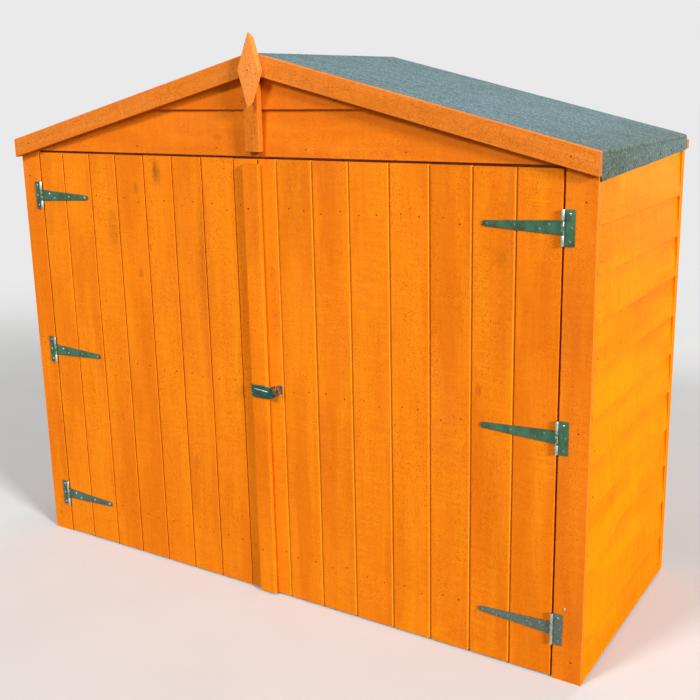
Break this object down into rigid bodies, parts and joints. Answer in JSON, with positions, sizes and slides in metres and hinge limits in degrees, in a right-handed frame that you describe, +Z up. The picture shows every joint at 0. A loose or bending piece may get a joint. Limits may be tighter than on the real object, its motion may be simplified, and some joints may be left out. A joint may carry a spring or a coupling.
{
  "type": "bike store shed",
  "caption": "Low orange-stained timber bike store with a shallow apex roof in green felt, boarded double doors on T hinges and a hasp.",
  "frame": {"origin": "middle of the floor area under the whole store, at ground level", "axes": "+X along the front to the right as seen from outside, +Y from the doors towards the rear wall, +Z up"},
  "size_m": [1.84, 0.76, 1.5598],
  "materials": {
    "stained_boards": "matte",
    "stained_trim": "matte",
    "sawn_framing": "matte",
    "mineral_felt": "matte",
    "green_enamel": "gloss",
    "zinc_plate": "satin"
  },
  "bodies": {
    "store": {"front_post_left": "stained_boards", "front_post_right": "stained_boards", "front_upright_left": "sawn_framing", "front_upright_right": "sawn_framing", "rear_upright_left": "sawn_framing", "rear_upright_right": "sawn_framing", "rear_upright_middle": "sawn_framing", "door_header": "sawn_framing", "side_wall_left": "stained_boards", "side_wall_right": "stained_boards", "side_rails_left": "sawn_framing", "side_rails_right": "sawn_framing", "rear_wall": "stained_boards", "rear_rails": "sawn_framing", "corner_strip_left": "stained_boards", "corner_strip_right": "stained_boards", "gable_board_lower": "stained_boards", "gable_board_upper": "stained_boards", "gable_strip": "stained_trim", "finial": "stained_trim", "ridge_rail": "sawn_framing", "roof_board_left": "sawn_framing", "roof_board_right": "sawn_framing", "roof_felt": "mineral_felt", "bargeboard_front_left": "stained_trim", "bargeboard_front_right": "stained_trim", "bargeboard_rear_left": "stained_trim", "bargeboard_rear_right": "stained_trim", "hinge_leaves_left": "green_enamel", "hinge_leaves_right": "green_enamel"},
    "left_door": {"left_door_boards": "stained_boards", "left_door_ledges": "sawn_framing", "left_door_braces": "sawn_framing", "cover_strip": "stained_boards", "hinge_straps_left": "green_enamel", "hasp_base": "green_enamel"},
    "hasp": {"hasp_flap": "green_enamel"},
    "right_door": {"right_door_boards": "stained_boards", "right_door_ledges": "sawn_framing", "right_door_braces": "sawn_framing", "hinge_straps_right": "green_enamel", "staple": "zinc_plate"}
  },
  "joints": [
    {"name": "left_door_swing", "type": "hinge", "parent": "store", "child": "left_door", "pos_m": [-0.8375, -0.3444, 0.62], "axis": [0, 0, -1], "range_deg": [0, 110]},
    {"name": "right_door_swing", "type": "hinge", "parent": "store", "child": "right_door", "pos_m": [0.8375, -0.3444, 0.62], "axis": [0, 0, 1], "range_deg": [0, 110]},
    {"name": "hasp_swing", "type": "hinge", "parent": "left_door", "child": "hasp", "pos_m": [-0.041, -0.357, 0.612], "axis": [0, 0, -1], "range_deg": [0, 160]}
  ]
}
